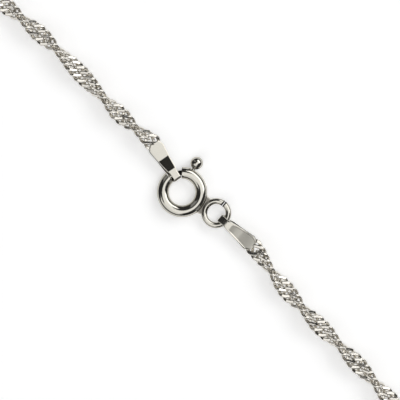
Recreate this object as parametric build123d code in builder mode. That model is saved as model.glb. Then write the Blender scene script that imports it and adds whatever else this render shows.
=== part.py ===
from build123d import *
import os
from math import cos, radians, sin, tan

# A singapore chain necklace, closed and laid out flat, with a spring-ring clasp and two end tags.
#
# Millimetres. Z is up and the surface that it lies on is z = 0. X runs along the straight stretch with
# the clasp, from the left half of the chain to the right half, and the loop closes on the -Y side. The
# origin is the middle of the footprint. Places by the clasp are counted from the centre of its ring, and
# angles are turned from +X, anticlockwise from above.

# Where it lies
RING_X, RING_Y = -0.781, 59.877  # centre of the clasp ring
LIE = 0.68  # height of the clasp's middle plane
CHAIN_D = 2.0  # outer diameter of the twisted chain

# Clasp ring: a hollow tube, open at its gate
RING_R = 1.87
TUBE_R = 0.60
BORE_R = 0.36
GATE_FROM, GATE_TO = 136.0, 176.0
CUT_EASE = 0.05  # rounding of the two cut ends

# Bolt in that bore, with its knob
BOLT_R = 0.25
TIP_ANGLE = 183.0  # the closed bolt reaches past the gate into the bore
KNOB_ANGLE = 108.0
BOLT_TAIL = 8.0  # wire behind the knob's stem, in degrees
OPENS = 45.0  # turn of the bolt from closed to open
STEM_R = 0.18
STEM_UP = 0.13  # the stem and the knob lie this far above the middle plane
KNOB_R = 0.64
KNOB_GAP = 0.05  # between the knob and the ring
SLOT_LOW, SLOT_HIGH = -0.12, 0.38  # the slot's edges, from the middle plane
SLOT_SPARE = 6.0  # slot beyond the middle of the stem at each end of its travel, in degrees

# Small ring soldered to it
SMALL_ANGLE = 13.3  # direction of its centre from the clasp ring's
SMALL_AWAY = 3.91
SMALL_R = 1.175
SMALL_WIRE_R = 0.30
SPLIT_ANGLE = 97.0  # where its ends meet
SPLIT_GAP = 0.06
WEB_T = 0.36  # solder web between the two rings
WEB_WAIST = 0.93  # half of its width where it is narrowest
WEB_RING_ANGLE = 32.0
WEB_SMALL_ANGLE = 53.0

# End tag, counted from the middle of the wire that its loop goes round, with x along it to the chain
LOOP_R = 0.44  # inside of the loop
SHEET = 0.16
STRAP_W = 0.66  # width of the loop's strap
STRAP_END = 0.30
NECK_X, NECK_W = 0.62, 0.96  # where the leaves begin, and their width there
LEAF_X, LEAF_H = 2.30, 0.56  # from here on the leaves are level, and the body is this thick
BELLY_X, BELLY_W = 3.00, 1.56
TAG_END = 3.76
EYE_END = 1.10  # the leaves touch from here on
POCKET_X, POCKET_H = 2.92, 0.34  # slot in the wide end that takes the last link
PIN_X, PIN_R = 3.36, 0.14
PANEL_X = 0.80  # the sunk face begins here
RIM = 0.13  # width of the raised rim round it
PANEL_DEEP = 0.05

# Each tag: heading of its length, its climb to the chain, and the lean of its face to the left of the heading
LEFT_WIRE_ANGLE = 160.0  # where on the bolt the left loop sits
LEFT_HEADING, LEFT_CLIMB, LEFT_LEAN = 168.5, 4.0, -12.0
RIGHT_WIRE_ANGLE = 1.5  # where on the small ring the right loop sits
RIGHT_HEADING, RIGHT_CLIMB, RIGHT_LEAN = 3.9, 4.0, -8.0

# Route of the chain's axis from each tag to the back of the neck. The first points lie as the straight
# stretch by the clasp does, and the others are a plain loop that makes up the real length.
LEFT_ROUTE = (
    (-5.58, 1.40),
    (-8.6, 1.00),
    (-13.2, 1.10),
    (-19.6, 1.28),
    (-28.5, 0.3),
    (-41.0, -3.4),
    (-55.0, -11.0),
    (-67.0, -23.5),
    (-75.5, -41.0),
    (-79.0, -62.5),
    (-75.0, -84.0),
    (-64.0, -101.5),
    (-48.5, -113.8),
    (-30.5, -120.3),
    (-12.0, -122.4),
    (0.0, -122.4),
)
RIGHT_ROUTE = (
    (8.90, 1.15),
    (11.8, 0.60),
    (16.4, 0.22),
    (22.8, 0.32),
    (31.5, -0.1),
    (43.5, -3.2),
    (57.0, -10.8),
    (69.0, -23.0),
    (77.5, -40.5),
    (80.5, -61.5),
    (76.3, -83.0),
    (65.3, -101.0),
    (49.5, -113.7),
    (31.0, -120.4),
    (12.0, -122.4),
    (0.0, -122.4),
)


def polar(radius, angle):
    """Point at a radius and an angle in degrees."""
    return (radius * cos(radians(angle)), radius * sin(radians(angle)))


def radial_plane(centre, angle):
    """Upright plane through a ring's axis, with x outwards at the angle and y up."""
    c, s = polar(1, angle)
    return Plane(origin=centre, x_dir=(c, s, 0), z_dir=(s, -c, 0))


def tag_plane(wire, heading, climb, lean):
    """Plane of a tag's face, with x along the tag and z out of its face."""
    level = Vector(*polar(1, heading + 90))
    along = Vector(*polar(cos(radians(climb)), heading), sin(radians(climb)))
    out = along.cross(level) * cos(radians(lean)) + level * sin(radians(lean))
    return Plane(origin=wire, x_dir=along, z_dir=out)


def bend_radii(points):
    """Largest arcs that the runs at each point allow."""
    radii = []
    for before, here, after in zip(points, points[1:], points[2:]):
        first = Vector(*here) - Vector(*before)
        second = Vector(*after) - Vector(*here)
        half_turn = radians(first.get_angle(second)) / 2
        radii.append(0.45 * min(first.length, second.length) / tan(half_turn))
    return radii


ring_centre = Vector(RING_X, RING_Y, LIE)
ring_axis = Axis(ring_centre, (0, 0, 1))
small_centre = ring_centre + Vector(*polar(SMALL_AWAY, SMALL_ANGLE))

# Clasp body: hollow ring, web and small ring, soldered into one
tube_turn = 360 - (GATE_TO - GATE_FROM)
with BuildPart() as clasp_body:
    with BuildSketch(radial_plane(ring_centre, GATE_TO)):
        with Locations((RING_R, 0)):
            Circle(TUBE_R)
    revolve(axis=ring_axis, revolution_arc=tube_turn)
    cut_ends = clasp_body.faces().filter_by(GeomType.PLANE)
    fillet(cut_ends.edges(), CUT_EASE)

    ring_side = polar(RING_R + 0.9 * TUBE_R, WEB_RING_ANGLE)
    small_side = Vector(SMALL_AWAY, 0) + Vector(*polar(SMALL_R + 0.7 * SMALL_WIRE_R, 180 - WEB_SMALL_ANGLE))
    waist = ((ring_side[0] + small_side.X) / 2, WEB_WAIST)
    with BuildSketch(Plane(origin=ring_centre, x_dir=(*polar(1, SMALL_ANGLE), 0), z_dir=(0, 0, 1))):
        with BuildLine():
            ThreePointArc(ring_side, waist, small_side)
            Polyline(small_side, (SMALL_AWAY, 0), (0, 0), ring_side)
        make_face()
        mirror(about=Plane.XZ)
        Circle(RING_R, mode=Mode.SUBTRACT)
        with Locations((SMALL_AWAY, 0)):
            Circle(SMALL_R, mode=Mode.SUBTRACT)
    extrude(amount=WEB_T / 2, both=True)

    with BuildSketch(radial_plane(small_centre, SMALL_ANGLE)):
        with Locations((SMALL_R, 0)):
            Circle(SMALL_WIRE_R)
    revolve(axis=Axis(small_centre, (0, 0, 1)))
    with BuildSketch(radial_plane(small_centre, SPLIT_ANGLE)):
        with Locations((SMALL_R, 0)):
            Rectangle(3 * SMALL_WIRE_R, 3 * SMALL_WIRE_R)
    extrude(amount=SPLIT_GAP / 2, both=True, mode=Mode.SUBTRACT)

    with BuildSketch(radial_plane(ring_centre, GATE_TO)):
        with Locations((RING_R, 0)):
            Circle(BORE_R)
    revolve(axis=ring_axis, revolution_arc=tube_turn, mode=Mode.SUBTRACT)
    with BuildSketch(radial_plane(ring_centre, KNOB_ANGLE - OPENS - SLOT_SPARE)):
        with Locations((RING_R, SLOT_LOW)):
            Rectangle(2 * TUBE_R, SLOT_HIGH - SLOT_LOW, align=Align.MIN)
    revolve(axis=ring_axis, revolution_arc=OPENS + 2 * SLOT_SPARE, mode=Mode.SUBTRACT)

# Bolt: an arc of wire in the bore, a stem through the slot, and a ball on the stem
knob_away = RING_R + TUBE_R + KNOB_GAP + KNOB_R
outwards = Vector(*polar(1, KNOB_ANGLE))
stem_foot = ring_centre + Vector(0, 0, STEM_UP)
with BuildPart() as clasp_bolt:
    with BuildSketch(radial_plane(ring_centre, KNOB_ANGLE - BOLT_TAIL)):
        with Locations((RING_R, 0)):
            Circle(BOLT_R)
    revolve(axis=ring_axis, revolution_arc=TIP_ANGLE - KNOB_ANGLE + BOLT_TAIL)
    wire_ends = clasp_bolt.faces().filter_by(GeomType.PLANE)
    fillet(wire_ends.edges(), BOLT_R / 2)
    with BuildSketch(Plane(origin=stem_foot + outwards * RING_R, z_dir=outwards)):
        Circle(STEM_R)
    extrude(amount=knob_away - RING_R)
    with Locations(stem_foot + outwards * knob_away):
        Sphere(KNOB_R)


def tag_outline(start, inset):
    """Tear shape from the given x to the wide end, drawn in by the inset."""
    start_y = (NECK_W + (BELLY_W - NECK_W) * (start - NECK_X) / (BELLY_X - NECK_X)) / 2 - inset
    belly_y = BELLY_W / 2 - inset
    with BuildSketch() as outline:
        with BuildLine():
            Polyline((BELLY_X, -belly_y), (start, -start_y), (start, start_y), (BELLY_X, belly_y))
            ThreePointArc((BELLY_X, belly_y), (TAG_END - inset, 0), (BELLY_X, -belly_y))
        make_face()
    return outline.sketch


def fold_side(sunk):
    """Side view of the folded strip, its faces sunk by the given depth: the loop, then the two closing leaves."""
    loop = LOOP_R + SHEET
    with BuildSketch() as side:
        with BuildLine():
            Polyline((0, loop - sunk), (STRAP_END, loop - sunk), (LEAF_X, LEAF_H / 2 - sunk),
                     (TAG_END, LEAF_H / 2 - sunk), (TAG_END, sunk - LEAF_H / 2),
                     (LEAF_X, sunk - LEAF_H / 2), (STRAP_END, sunk - loop), (0, sunk - loop), close=True)
        make_face()
        Circle(loop)
    return side.sketch


# End tag: a strip folded round a wire into a loop, its two leaves pressed together into a tear-shaped body
side_plane = Plane.XZ.offset(-BELLY_W)
with BuildPart() as tag_leaves:
    with BuildSketch():
        with Locations((STRAP_END, 0)):
            Rectangle(4 * LOOP_R, STRAP_W, align=(Align.MAX, Align.CENTER))
        with BuildLine():
            Polyline((STRAP_END, STRAP_W / 2), (NECK_X, NECK_W / 2), (NECK_X, -NECK_W / 2),
                     (STRAP_END, -STRAP_W / 2), close=True)
        make_face()
        add(tag_outline(NECK_X, 0))
        add(tag_outline(PANEL_X, RIM), mode=Mode.SUBTRACT)
    extrude(amount=2 * LOOP_R, both=True)
    with BuildSketch(side_plane):
        add(fold_side(0))
    extrude(amount=2 * BELLY_W, mode=Mode.INTERSECT)

with BuildPart() as end_tag:
    add(tag_outline(PANEL_X - 0.02, RIM - 0.02))
    extrude(amount=2 * LOOP_R, both=True)
    with BuildSketch(side_plane):
        add(fold_side(PANEL_DEEP))
    extrude(amount=2 * BELLY_W, mode=Mode.INTERSECT)
    add(tag_leaves.part)
    with BuildSketch(side_plane):
        Circle(LOOP_R)
        with BuildLine():
            Polyline((0, -LOOP_R), (0, LOOP_R), (STRAP_END, LOOP_R), (EYE_END, 0),
                     (STRAP_END, -LOOP_R), close=True)
        make_face()
    extrude(amount=2 * BELLY_W, mode=Mode.SUBTRACT)
    with BuildSketch(side_plane):
        with Locations((POCKET_X, 0)):
            Rectangle(TAG_END, POCKET_H, align=(Align.MIN, Align.CENTER))
    extrude(amount=2 * BELLY_W, mode=Mode.SUBTRACT)
    with BuildSketch():
        with Locations((PIN_X, 0)):
            Circle(PIN_R)
    extrude(amount=LEAF_H / 2 - PANEL_DEEP, both=True)

left_wire = ring_centre + Vector(*polar(RING_R, LEFT_WIRE_ANGLE))
with BuildPart(tag_plane(left_wire, LEFT_HEADING, LEFT_CLIMB, LEFT_LEAN)) as end_tag_left:
    add(end_tag.part)

right_wire = small_centre + Vector(*polar(SMALL_R, RIGHT_WIRE_ANGLE))
with BuildPart(tag_plane(right_wire, RIGHT_HEADING, RIGHT_CLIMB, RIGHT_LEAN)) as end_tag_right:
    add(end_tag.part)

# Chain: each half is a plain tube of the chain's outer diameter, from its tag to the back of the neck
chain_plane = Plane(origin=(RING_X, RING_Y, CHAIN_D / 2))
with BuildPart() as chain_left:
    with BuildLine(chain_plane) as left_path:
        FilletPolyline(*LEFT_ROUTE, radius=bend_radii(LEFT_ROUTE))
    with BuildSketch(Plane(origin=left_path.line @ 0, z_dir=left_path.line % 0)):
        Circle(CHAIN_D / 2)
    sweep(path=left_path.line)

with BuildPart() as chain_right:
    with BuildLine(chain_plane) as right_path:
        FilletPolyline(*RIGHT_ROUTE, radius=bend_radii(RIGHT_ROUTE))
    with BuildSketch(Plane(origin=right_path.line @ 0, z_dir=right_path.line % 0)):
        Circle(CHAIN_D / 2)
    sweep(path=right_path.line)

pieces = {
    "chain_left": chain_left,
    "chain_right": chain_right,
    "clasp_body": clasp_body,
    "clasp_bolt": clasp_bolt,
    "end_tag_left": end_tag_left,
    "end_tag_right": end_tag_right,
}
os.makedirs("parts", exist_ok=True)
for name, piece in pieces.items():
    piece.part.label = name
    export_step(piece.part, f"parts/{name}.step")

for name, path, route in (("left", left_path, LEFT_ROUTE), ("right", right_path, RIGHT_ROUTE)):
    tube = pieces[f"chain_{name}"].part.volume
    section = 3.14159265 * CHAIN_D**2 / 4
    print(name, "radii", [round(radius, 1) for radius in bend_radii(route)])
    print(name, "length", round(path.wires()[0].length, 2), "volume over section", round(tube / section, 2))
whole = Compound(children=[piece.part for piece in pieces.values()]).bounding_box()
print("footprint", whole.min, whole.max, "centre", whole.center())
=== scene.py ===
"""Singapore chain necklace, closed and laid out flat, with a spring-ring clasp and two end tags.

The chain is two runs of wire links. Each link passes through the next two, and each is turned a little
further about the chain's axis than the last, so the flat curb chain becomes a right-handed screw. The clasp
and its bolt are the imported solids, with a better finish.

Metres. X runs along the straight stretch with the clasp, Z is up, and the floor is z = 0.
"""

import bpy
import numpy as np
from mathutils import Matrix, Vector


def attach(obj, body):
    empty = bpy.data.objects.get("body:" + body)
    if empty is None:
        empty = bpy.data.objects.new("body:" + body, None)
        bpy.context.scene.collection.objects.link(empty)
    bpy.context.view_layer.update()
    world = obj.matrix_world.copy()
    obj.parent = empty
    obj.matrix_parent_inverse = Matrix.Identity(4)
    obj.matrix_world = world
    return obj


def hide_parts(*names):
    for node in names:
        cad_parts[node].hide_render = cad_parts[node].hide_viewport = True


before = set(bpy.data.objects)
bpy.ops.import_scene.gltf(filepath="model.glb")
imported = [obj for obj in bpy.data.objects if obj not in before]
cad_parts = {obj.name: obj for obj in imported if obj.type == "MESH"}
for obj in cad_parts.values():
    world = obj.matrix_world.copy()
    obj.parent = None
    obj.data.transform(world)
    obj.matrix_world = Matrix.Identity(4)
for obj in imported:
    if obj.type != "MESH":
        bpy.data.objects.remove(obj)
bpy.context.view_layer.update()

bl_info = {
    "name": "Singapore Chain Necklace",
    "version": (1, 0, 0),
    "blender": (4, 5, 0),
    "location": "View3D > Sidebar > Necklace",
    "description": "Wire links, silver finishes and a plain studio for a singapore chain necklace",
    "category": "Add Mesh",
}

MM = 0.001
# Softboxes: place and target in metres from the middle of the picture, width, depth and brightness
SOFTBOXES = (
    ("top", (0.235, 0.0, 1.0), (0.235, 0.0, 0.0), 0.73, 1.3, 1.35),
    ("key", (0.10, 0.84, 0.72), (0.0, 0.0, 0.0), 1.2, 0.6, 2.4),
    ("fill", (0.10, -0.84, 0.72), (0.0, 0.0, 0.0), 1.2, 0.6, 1.1),
    ("left", (-1.1, 0.0, 0.9), (0.0, 0.0, 0.0), 0.5, 1.2, 0.3),
    ("right", (1.6, 0.0, 0.5), (0.0, 0.0, 0.0), 0.4, 1.2, 0.3),
)
RING_CENTRE = np.array((-0.781, 59.877, 0.0)) * MM  # under the middle of the clasp's ring
# Places on the clasp painted with shade, grey on the web and black in the split and at the gate: the middle
# from the ring's centre, how many times smaller than 1 mm the oval's half is along each axis, and the width
# of its soft edge as a share of it
WEB_SHADE = (np.array((2.38, 0.563, 0.68)) * MM, (0.85, 0.85, 3.4), 0.1)
SPLIT_SHADOW = (np.array((3.66, 2.07, 0.68)) * MM, (4.5, 1.5, 1.5), 0.2)
GATE_SHADOW = (np.array((-1.42, 1.22, 0.68)) * MM, (3.0, 3.0, 2.0), 0.3)  # where the bolt goes into the ring
# The last two colours are painted: grey shade for the web, black shadow for the split and the gate
SILVER, WIRE_SILVER, PAINTED_SHADE_GREY, PAINTED_SHADOW_BLACK = "#C0BDB4", "#DEDAD2", "#716E68", "#1E1D1B"
ROUGH_SPREAD = 0.4  # the roughness varies by this share of itself
FLOOR_SIDE, FLOOR_GLOW, FLOOR_DROP = 4.0, 0.38, 0.02 * MM
WORLD_GLOW = 0.04
PICTURE_MIDDLE = RING_CENTRE + np.array((1.785, 0.687, 1.0)) * MM
CAMERA_TURN = 45.0
AXIS_HEIGHT = 1.0 * MM  # of the chain, lying on the floor
# End tag, counted from the middle of the wire that its loop goes round, with x along it to the chain
SHEET, STRAP_W, NECK_W = 0.16 * MM, 0.76 * MM, 0.96 * MM
NECK_FROM, NECK_LONG, LEAF_FROM = 0.20 * MM, 0.50 * MM, 0.70 * MM
BELLY_X, BELLY_W, TAG_END = 3.00 * MM, 1.56 * MM, 3.76 * MM
PANEL_X, PANEL_DEEP, PANEL_SLOPE = 0.80 * MM, 0.05 * MM, 0.50 * MM
TIP_FLAT = 0.004 * MM  # keeps the round tip's last section from closing to a line
# Side view of its upper leaf from the tip to the end of the loop, in millimetres: x and height
TAG_SIDE = ((3.76, 0.170), (3.30, 0.200), (2.10, 0.170), (1.90, 0.180), (1.80, 0.200), (0.62, 0.500),
            (0.45, 0.530), (-0.38, 0.510), (-0.50, 0.470), (-0.57, 0.360), (-0.57, 0.130))
# Section across it, from the edge to the middle: inset in millimetres, height in sheets, and 1 where it sinks
TAG_INSET = (0.0, 0.0, 0.015, 0.045, 0.14, 0.165, 0.20, 5.0)
TAG_RISE = (-0.5, 0.20, 0.42, 0.5, 0.5, 0.5, 0.5, 0.5)
TAG_SINKS = (0, 0, 0, 0, 0, 1, 1, 1)
PIN_X, PIN_R = 3.36 * MM, 0.14 * MM

LINK_SIDES, WIRE_SIDES = 16, 6
SEED = 7
TURN_SPREAD = 2.5  # degrees by which the links' turns vary
PINCH = 0.5  # the first link is pressed to this share of its height
LOOK = 0.2 * MM  # the direction of the route is taken over this distance each way

# Route of the chain's axis from each tag to the back of the neck, from the ring's centre, in metres
LEFT_ROUTE = (
    (-0.00558, 0.00140),
    (-0.0086, 0.00100),
    (-0.0132, 0.00110),
    (-0.0196, 0.00128),
    (-0.0285, 0.0003),
    (-0.0410, -0.0034),
    (-0.0550, -0.0110),
    (-0.0670, -0.0235),
    (-0.0755, -0.0410),
    (-0.0790, -0.0625),
    (-0.0750, -0.0840),
    (-0.0640, -0.1015),
    (-0.0485, -0.1138),
    (-0.0305, -0.1203),
    (-0.0120, -0.1224),
    (0.0, -0.1224),
)
RIGHT_ROUTE = (
    (0.00890, 0.00115),
    (0.0118, 0.00060),
    (0.0164, 0.00022),
    (0.0228, 0.00032),
    (0.0315, -0.0001),
    (0.0435, -0.0032),
    (0.0570, -0.0108),
    (0.0690, -0.0230),
    (0.0775, -0.0405),
    (0.0805, -0.0615),
    (0.0763, -0.0830),
    (0.0653, -0.1010),
    (0.0495, -0.1137),
    (0.0310, -0.1204),
    (0.0120, -0.1224),
    (0.0, -0.1224),
)

# Each tag: the middle of the wire that its loop goes round, the heading of its length, its climb to the
# chain, and the lean of its face to the right of the heading, in degrees
LEFT_TAG = (np.array((-1.757, 0.640, 0.68)) * MM, 168.5, 4.0, 12.0)
RIGHT_TAG = (np.array((4.980, 0.930, 0.68)) * MM, 3.9, 4.0, 8.0)

# Where along x, from the ring's centre, the photographed stretches of the screw stand on edge
LEFT_NARROWS = np.array((-7.57, -11.6, -18.4, -22.8)) * MM
RIGHT_NARROWS = np.array((11.7, 16.2, 21.3, 26.3)) * MM


class NecklaceChain(bpy.types.PropertyGroup):
    """Sizes of the links and of the screw that they make."""

    pitch: bpy.props.FloatProperty(
        name="Pitch", description="Distance from one link to the next", default=0.64 * MM,
        unit="LENGTH"
    )
    wire: bpy.props.FloatProperty(
        name="Wire", description="Width of the links' pressed wire in the link's plane", default=0.38 * MM,
        unit="LENGTH"
    )
    wire_height: bpy.props.FloatProperty(
        name="Wire height", description="Height of the links' pressed wire out of the link's plane",
        default=0.28 * MM, unit="LENGTH"
    )
    half_length: bpy.props.FloatProperty(
        name="Half length", description="From a link's middle to its wire's middle, along the chain",
        default=0.75 * MM, unit="LENGTH"
    )
    half_width: bpy.props.FloatProperty(
        name="Half width", description="From a link's middle to its wire's middle, across the chain",
        default=0.66 * MM, unit="LENGTH"
    )
    corner: bpy.props.FloatProperty(
        name="Corner", description="How far the link's four corners stand out from an oval",
        default=0.05 * MM, unit="LENGTH"
    )
    curl: bpy.props.FloatProperty(
        name="Curl", default=0.20 * MM, unit="LENGTH",
        description="How far the wire between the corners rises or falls out of the link's plane"
    )
    planed: bpy.props.FloatProperty(
        name="Planed", default=0.22 * MM, unit="LENGTH",
        description="Height above the link's plane at which the diamond cutter planes its wire"
    )
    half_twist: bpy.props.FloatProperty(
        name="Half twist", description="Chain in half a turn of the screw", default=4.9 * MM, unit="LENGTH"
    )


class NecklaceStudio(bpy.types.PropertyGroup):
    """The picture's frame and the camera's height."""

    field: bpy.props.FloatProperty(
        name="Field", description="Side of the square that the picture shows", default=38.83 * MM,
        unit="LENGTH"
    )
    distance: bpy.props.FloatProperty(
        name="Distance", description="Height of the camera", default=0.8, unit="LENGTH"
    )


def srgb(code):
    """Linear colour of an sRGB hex code."""
    values = np.array([int(code[i:i + 2], 16) / 255 for i in (1, 3, 5)])
    linear = np.where(values <= 0.04045, values / 12.92, ((values + 0.055) / 1.055) ** 2.4)
    return (*linear.tolist(), 1.0)


def add_node(tree, kind, settings=None, links=None):
    """Adds a node, sets its properties and sockets by name, and links its inputs to other nodes."""
    node = tree.nodes.new(kind)
    for name, value in (settings or {}).items():
        if name in node.inputs:
            node.inputs[name].default_value = value
        else:
            setattr(node, name, value)
    for name, socket in (links or {}).items():
        tree.links.new(socket, node.inputs[name])
    return node


def new_material(name):
    """Empty material with its shader and output joined."""
    material = bpy.data.materials.new(name)
    material.use_nodes = True
    tree = material.node_tree
    tree.nodes.clear()
    shader = add_node(tree, "ShaderNodeBsdfPrincipled")
    add_node(tree, "ShaderNodeOutputMaterial", links={"Surface": shader.outputs["BSDF"]})
    return material, tree, shader


def polished_silver(name, colour, roughness, scratch_mm, bump_um):
    """Sterling silver: warm white, as bright or dull as its roughness, with hairline scratches."""
    material, tree, shader = new_material(name)
    shader.inputs["Base Color"].default_value = srgb(colour)
    shader.inputs["Metallic"].default_value = 1.0
    place = add_node(tree, "ShaderNodeTexCoord").outputs["Object"]
    grain = add_node(
        tree, "ShaderNodeTexNoise", {"Scale": 1 / (scratch_mm * MM), "Detail": 2.0}, {"Vector": place}
    )
    rough = add_node(
        tree, "ShaderNodeMapRange",
        {"To Min": (1 - ROUGH_SPREAD) * roughness, "To Max": (1 + ROUGH_SPREAD) * roughness},
        {"Value": grain.outputs["Fac"]}
    )
    tree.links.new(rough.outputs["Result"], shader.inputs["Roughness"])
    bump = add_node(
        tree, "ShaderNodeBump", {"Strength": 1.0, "Distance": bump_um * 1e-6},
        {"Height": grain.outputs["Fac"]}
    )
    tree.links.new(bump.outputs["Normal"], shader.inputs["Normal"])
    return material


def within(tree, place, spot):
    """Mask that is 1 inside the oval of a spot on the clasp and 0 outside it."""
    middle, scale, edge = spot
    offset = add_node(tree, "ShaderNodeVectorMath", {"operation": "SUBTRACT"}, {0: place})
    offset.inputs[1].default_value = RING_CENTRE + middle
    scaled = add_node(tree, "ShaderNodeVectorMath", {"operation": "MULTIPLY"}, {0: offset.outputs["Vector"]})
    scaled.inputs[1].default_value = scale
    reach = add_node(tree, "ShaderNodeVectorMath", {"operation": "LENGTH"}, {0: scaled.outputs["Vector"]})
    mask = add_node(
        tree, "ShaderNodeMapRange", {"From Min": 1.0 * MM, "From Max": (1.0 - edge) * MM},
        {"Value": reach.outputs["Value"]}
    )
    return mask.outputs["Result"]


def cast_silver():
    """Sterling silver, cast and polished: a mirror outside, with painted shade on it: the web in the fork of
    the two rings is painted grey for the shade in that hollow, and the small ring's split and the gate's end
    are painted black for the shadow in the gap and the crack.
    """
    material = polished_silver("cast sterling silver with painted shade", SILVER, 0.10, 0.15, 0.3)
    tree = material.node_tree
    place = tree.nodes["Texture Coordinate"].outputs["Object"]
    web, split, gate = (within(tree, place, spot) for spot in (WEB_SHADE, SPLIT_SHADOW, GATE_SHADOW))
    # Painted shadow: the small ring's split and the crack at the gate's end are painted black
    dark = add_node(tree, "ShaderNodeMath", {"operation": "MAXIMUM"}, {0: split, 1: gate})
    # Painted shade: the web in the fork between the rings is darkened to grey
    web_shade_colour = add_node(
        tree, "ShaderNodeMixRGB", {"Color1": srgb(SILVER), "Color2": srgb(PAINTED_SHADE_GREY)}, {"Fac": web}
    )
    shaded_colour = add_node(
        tree, "ShaderNodeMixRGB", {"Color2": srgb(PAINTED_SHADOW_BLACK)},
        {"Fac": dark.outputs["Value"], "Color1": web_shade_colour.outputs["Color"]}
    )
    tree.links.new(shaded_colour.outputs["Color"], tree.nodes["Principled BSDF"].inputs["Base Color"])
    return material


def quad_rows(rows, columns):
    """Corners of the faces on a grid of points that closes on itself both ways, row after row."""
    row, column = np.meshgrid(np.arange(rows), np.arange(columns), indexing="ij")
    below, right = (row + 1) % rows, (column + 1) % columns
    corners = (row * columns + column, below * columns + column,
               below * columns + right, row * columns + right)
    return np.stack(corners, -1).reshape(-1, 4)


def add_mesh(name, points, faces, material):
    """New smooth mesh object at the origin."""
    mesh = bpy.data.meshes.new(name)
    mesh.from_pydata(points.tolist(), [], faces if isinstance(faces, list) else faces.tolist())
    mesh.materials.append(material)
    mesh.shade_smooth()
    mesh.validate()
    piece = bpy.data.objects.new(name, mesh)
    bpy.context.scene.collection.objects.link(piece)
    return piece


def unit(vectors):
    """Vectors of length one along the last axis."""
    return vectors / np.linalg.norm(vectors, axis=-1, keepdims=True)


def read_route(name, route):
    """Points along the smooth curve that the route's points control, in order."""
    curve = bpy.data.curves.new(name, "CURVE")
    curve.dimensions = "3D"
    curve.resolution_u = 24
    spline = curve.splines.new("NURBS")
    spline.points.add(len(route) - 1)
    places = np.column_stack((np.array(route) + RING_CENTRE[:2], np.full(len(route), AXIS_HEIGHT)))
    spline.points.foreach_set("co", np.column_stack((places, np.ones(len(route)))).ravel())
    spline.order_u = 3
    spline.use_endpoint_u = True
    holder = bpy.data.objects.new(name, curve)
    line = bpy.data.meshes.new_from_object(holder)
    points = np.empty(len(line.vertices) * 3)
    line.vertices.foreach_get("co", points)
    bpy.data.objects.remove(holder)
    bpy.data.curves.remove(curve)
    bpy.data.meshes.remove(line)
    return points.reshape(-1, 3)


def link_surface(size, around=LINK_SIDES, section=WIRE_SIDES):
    """Points of one link about the origin, the chain's axis along x.

    At the angle t the wire's middle is (a cos t + d cos 3t, b sin t - d sin 3t, -c sin 2t), a rounded
    lozenge whose four sides rise and fall by turns. The wire is a hexagon about it, square to its direction,
    with two sides nearly level, and what stands above the planed height is cut off level.
    """
    t = np.linspace(0, 2 * np.pi, around, endpoint=False)
    a, b, c, d = size.half_length, size.half_width, size.curl, size.corner
    middle = np.stack((a * np.cos(t) + d * np.cos(3 * t), b * np.sin(t) - d * np.sin(3 * t),
                       -c * np.sin(2 * t)), -1)
    along = unit(np.stack((-a * np.sin(t) - 3 * d * np.sin(3 * t), b * np.cos(t) - 3 * d * np.cos(3 * t),
                           -2 * c * np.cos(2 * t)), -1))
    out = np.stack((np.cos(t), np.sin(t), np.zeros_like(t)), -1)
    out = unit(out - (out * along).sum(-1, keepdims=True) * along)
    up = np.cross(out, along)
    turn = np.arange(section) * 2 * np.pi / section
    ring = (size.wire * np.cos(turn)[:, None] * out[:, None]
            + size.wire_height * np.sin(turn)[:, None] * up[:, None]) / 2
    points = (middle[:, None] + ring).reshape(-1, 3)
    points[:, 2] = np.clip(points[:, 2], -size.planed, size.planed)
    return points, quad_rows(around, section)


def tag_axes(heading, climb, lean):
    """Rows: the tag's length, its width to the left of the heading, and the way out of its upper face."""
    turn, rise, roll = np.radians((heading, climb, lean))
    along = np.array((np.cos(rise) * np.cos(turn), np.cos(rise) * np.sin(turn), np.sin(rise)))
    level = np.array((-np.sin(turn), np.cos(turn), 0))
    upright = np.cross(along, level)
    return np.stack((along, np.cos(roll) * level + np.sin(roll) * upright,
                     np.cos(roll) * upright - np.sin(roll) * level))


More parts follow.
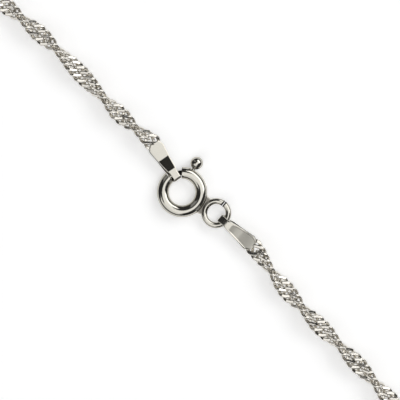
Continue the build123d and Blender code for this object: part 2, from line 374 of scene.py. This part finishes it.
def half_chain(name, route, tag, narrows, size, material):
    """Run of links from a tag's pin to the back of the neck.

    Link k lies at the distance k times the pitch along the route, turned about it by an angle that grows by
    half a turn between one narrow place and the next, and evenly beyond them.
    """
    wire_middle, heading, climb, lean = tag
    pin = wire_middle + PIN_X * tag_axes(heading, climb, lean)[0]
    line = np.vstack((RING_CENTRE + pin, read_route(name + "_route", route)))
    run = np.concatenate(([0.0], np.cumsum(np.linalg.norm(np.diff(line, axis=0), axis=1))))
    first = size.half_length - size.wire / 2 - PIN_R
    count = int(round((run[-1] - first) / size.pitch))
    places = np.linspace(first, run[-1] - size.pitch / 2, count)

    reach = np.sign(pin[0]) * (line[:, 0] - RING_CENTRE[0])
    outward = slice(0, np.argmax(reach))
    knots = np.interp(np.abs(narrows), reach[outward], run[outward])
    halves = round((run[-1] - knots[-1]) / size.half_twist - 0.5) + 0.5
    distances = np.concatenate(([first], knots, [run[-1]]))
    angles = np.concatenate((
        [np.radians(lean)],
        np.pi * (np.arange(len(knots)) + 0.5),
        [np.pi * (len(knots) - 0.5 + halves)],
    ))
    turn = np.interp(places, distances, angles)
    generator = np.random.default_rng(SEED)
    turn[1:] += generator.normal(0, np.radians(TURN_SPREAD), count - 1)

    middle = np.stack([np.interp(places, run, line[:, axis]) for axis in range(3)], -1)
    ahead = np.stack([np.interp(places + LOOK, run, line[:, axis]) for axis in range(3)], -1)
    behind = np.stack([np.interp(places - LOOK, run, line[:, axis]) for axis in range(3)], -1)
    along = unit(ahead - behind)
    level = unit(np.cross((0.0, 0.0, 1.0), along))
    rise = np.cross(along, level)
    across = np.cos(turn)[:, None] * level + np.sin(turn)[:, None] * rise
    out = np.cross(along, across)
    axes = np.stack((along, across, out), 1)

    link, faces = link_surface(size)
    shapes = np.repeat(link[None], count, axis=0)
    shapes[0] *= (1, 1, PINCH)
    points = middle[:, None] + shapes @ axes
    faces = faces[None] + (np.arange(count) * len(link))[:, None, None]
    piece = add_mesh(name, points.reshape(-1, 3), faces.reshape(-1, 4), material)
    planed = np.tile(np.isin(np.arange(WIRE_SIDES), (1, 4)), count * LINK_SIDES)
    piece.data.polygons.foreach_set("use_smooth", ~planed)
    return piece


class NECKLACE_OT_links(bpy.types.Operator):
    """Make the links of both halves of the chain"""

    bl_idname = "necklace.links"
    bl_label = "Links"

    def execute(self, context):
        size = context.scene.necklace_chain
        # Bright white flats and black holes that sparkle, a little softer than the clasp
        silver = polished_silver("silver wire, drawn and polished", WIRE_SILVER, 0.14, 0.08, 0.4)
        halves = (
            ("links_left", LEFT_ROUTE, LEFT_TAG, LEFT_NARROWS, "chain_left"),
            ("links_right", RIGHT_ROUTE, RIGHT_TAG, RIGHT_NARROWS, "chain_right"),
        )
        for name, route, tag, narrows, node in halves:
            piece = half_chain(name, route, tag, narrows, size, silver)
            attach(piece, "necklace")
            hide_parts(node)
        return {"FINISHED"}


def smooth_line(corners, steps=8):
    """Points of the line that runs from the middle of each side of an open polygon to the middle of the next
    as a parabola that its corner draws out, and straight to both ends."""
    corners = np.asarray(corners, float)
    middles = (corners[1:] + corners[:-1]) / 2
    u = np.linspace(0, 1, steps)[None, :, None]
    before, after = middles[:-1, None], middles[1:, None]
    bends = (1 - u) ** 2 * before + 2 * u * (1 - u) * corners[1:-1, None] + u ** 2 * after
    inner = np.concatenate([bend[:-1] for bend in bends])
    return np.vstack((corners[:1], inner, middles[-1:], corners[-1:]))


def capped(rows, columns):
    """Faces of a grid whose rows are closed rings, with a face on each end ring."""
    faces = quad_rows(rows, columns).reshape(rows, columns, 4)[:-1].reshape(-1, 4).tolist()
    return faces + [list(range(columns)), list(range(rows * columns - 1, (rows - 1) * columns - 1, -1))]


def tag_surface(deep):
    """Points and faces of an end tag from the middle of its loop's wire, and which faces are its panel.

    A sheet is carried along a folded line: from the upper leaf's round tip, about the wire, and back along
    the lower leaf. Its width grows from the strap to the belly and then closes as a quarter of an oval.
    Across, it has a rim with rounded edges on its outer side, and a face between that is sunk by the depth.
    """
    leaf = np.array(TAG_SIDE) * MM
    corners = np.vstack((leaf, leaf[::-1] * (1, -1)))
    line = smooth_line(corners)
    tangent = unit(np.gradient(line, axis=0))
    outward = np.column_stack((tangent[:, 1], -tangent[:, 0]))

    x = np.clip(line[:, 0], 0, TAG_END - TIP_FLAT)
    neck = np.clip((x - NECK_FROM) / NECK_LONG, 0, 1)
    half = STRAP_W / 2 + (NECK_W - STRAP_W) / 2 * neck ** 2 * (3 - 2 * neck)
    half = half + np.clip((x - LEAF_FROM) / (BELLY_X - LEAF_FROM), 0, 1) * (BELLY_W - NECK_W) / 2
    half = half * np.sqrt(1 - (np.clip(x - BELLY_X, 0, None) / (TAG_END - BELLY_X)) ** 2)
    sunk = deep * np.clip((x - PANEL_X) / PANEL_SLOPE, 0, 1)

    inset, rise, drop = (np.array(values + values[-2::-1]) for values in (TAG_INSET, TAG_RISE, TAG_SINKS))
    inset, rise = inset * MM, rise * SHEET
    side = np.where(np.arange(len(inset)) < len(TAG_INSET), 1.0, -1.0)
    across = side * np.clip(half[:, None] - inset, 0, None)
    height = rise - drop * sunk[:, None]
    places = line[:, None] + height[:, :, None] * outward[:, None]
    points = np.stack((places[:, :, 0], across, places[:, :, 1]), -1)
    panel = np.zeros(across.shape, bool)
    first = TAG_SINKS.index(1)
    panel[sunk > 0, first:len(inset) - first - 1] = True
    return points.reshape(-1, 3), capped(*across.shape), panel[:-1].ravel()


class NECKLACE_OT_tags(bpy.types.Operator):
    """Fold both end tags from sheet"""

    bl_idname = "necklace.tags"
    bl_label = "End tags"

    def execute(self, context):
        # A clear mirror, white or black as it leans
        polished = polished_silver("sterling silver sheet, rolled and polished", SILVER, 0.08, 0.15, 0.3)
        # Even mid-grey with a fine grain, and no clear reflection
        matte = polished_silver("sterling silver sheet, struck with a rough die", SILVER, 0.42, 0.06, 4.0)
        for name, tag, deep in (("tag_left", LEFT_TAG, 0.0), ("tag_right", RIGHT_TAG, PANEL_DEEP)):
            wire_middle, heading, climb, lean = tag
            points, faces, panel = tag_surface(deep)
            places = RING_CENTRE + wire_middle + points @ tag_axes(heading, climb, lean)
            piece = add_mesh(name, places, faces, polished)
            if deep > 0:
                piece.data.materials.append(matte)
                slots = np.append(panel, (False, False)).astype(int)
                piece.data.polygons.foreach_set("material_index", slots)
            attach(piece, "necklace")
            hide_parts("end_" + name)
        return {"FINISHED"}


class NECKLACE_OT_clasp(bpy.types.Operator):
    """Finish the clasp and its bolt"""

    bl_idname = "necklace.clasp"
    bl_label = "Clasp"

    def execute(self, context):
        silver = cast_silver()
        for name in ("clasp_body", "clasp_bolt"):
            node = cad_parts[name]
            node.data.materials.clear()
            node.data.materials.append(silver)
        return {"FINISHED"}


def add_lamp(name, place, target, width, depth, brightness):
    """Softbox at a place, facing a target. At a brightness of 1 it is as bright as the picture's white."""
    light = bpy.data.lights.new(name, "AREA")
    light.shape = "RECTANGLE"
    light.size, light.size_y = width, depth
    light.energy = np.pi * width * depth * brightness
    lamp = bpy.data.objects.new(name, light)
    lamp.location = place
    lamp.rotation_euler = (Vector(place) - Vector(target)).to_track_quat("Z", "Y").to_euler()
    bpy.context.scene.collection.objects.link(lamp)


class NECKLACE_OT_stage(bpy.types.Operator):
    """Set up the floor, the softboxes and the camera"""

    bl_idname = "necklace.stage"
    bl_label = "Stage"

    def execute(self, context):
        studio = context.scene.necklace_studio
        white = bpy.data.materials.new("painted board, matt white")
        white.use_nodes = True
        shader = white.node_tree.nodes["Principled BSDF"]
        shader.inputs["Base Color"].default_value = srgb("#F7F7F7")
        shader.inputs["Roughness"].default_value = 0.9
        shader.inputs["Emission Color"].default_value = (1.0, 1.0, 1.0, 1.0)
        shader.inputs["Emission Strength"].default_value = FLOOR_GLOW
        corners = np.array(((-1, -1, 0), (1, -1, 0), (1, 1, 0), (-1, 1, 0))) * FLOOR_SIDE / 2
        floor = add_mesh("floor", corners - (0, 0, FLOOR_DROP), [[0, 1, 2, 3]], white)

        world = bpy.data.worlds.new("studio")
        world.use_nodes = True
        world.node_tree.nodes["Background"].inputs["Color"].default_value = (1.0, 1.0, 1.0, 1.0)
        world.node_tree.nodes["Background"].inputs["Strength"].default_value = WORLD_GLOW
        context.scene.world = world

        for name, place, target, width, depth, brightness in SOFTBOXES:
            add_lamp(name, PICTURE_MIDDLE + place, PICTURE_MIDDLE + target, width, depth, brightness)
        context.scene.view_settings.view_transform = "Standard"

        camera = bpy.data.cameras.new("camera")
        camera.sensor_width = 36.0
        camera.lens = camera.sensor_width * studio.distance / studio.field
        holder = bpy.data.objects.new("camera", camera)
        holder.location = PICTURE_MIDDLE + np.array((0, 0, studio.distance))
        holder.rotation_euler = (0, 0, np.radians(CAMERA_TURN))
        context.scene.collection.objects.link(holder)
        context.scene.camera = holder
        return {"FINISHED"}


class NECKLACE_PT_panel(bpy.types.Panel):
    """Buttons for the necklace's pieces"""

    bl_label = "Singapore chain necklace"
    bl_idname = "NECKLACE_PT_panel"
    bl_space_type = "VIEW_3D"
    bl_region_type = "UI"
    bl_category = "Necklace"

    def draw(self, context):
        for operator in OPERATORS:
            self.layout.operator(operator.bl_idname)
        for group in ("necklace_chain", "necklace_studio"):
            settings = getattr(context.scene, group)
            for name in settings.bl_rna.properties.keys():
                if name not in ("rna_type", "name"):
                    self.layout.prop(settings, name)


OPERATORS = (NECKLACE_OT_stage, NECKLACE_OT_links, NECKLACE_OT_clasp, NECKLACE_OT_tags)
CLASSES = (NecklaceChain, NecklaceStudio, *OPERATORS, NECKLACE_PT_panel)


def register():
    for kind in CLASSES:
        bpy.utils.register_class(kind)
    bpy.types.Scene.necklace_chain = bpy.props.PointerProperty(type=NecklaceChain)
    bpy.types.Scene.necklace_studio = bpy.props.PointerProperty(type=NecklaceStudio)


def unregister():
    del bpy.types.Scene.necklace_chain
    del bpy.types.Scene.necklace_studio
    for kind in reversed(CLASSES):
        bpy.utils.unregister_class(kind)


def main():
    register()
    bpy.ops.necklace.stage()
    bpy.ops.necklace.links()
    bpy.ops.necklace.clasp()
    bpy.ops.necklace.tags()


if __name__ == "__main__":
    main()
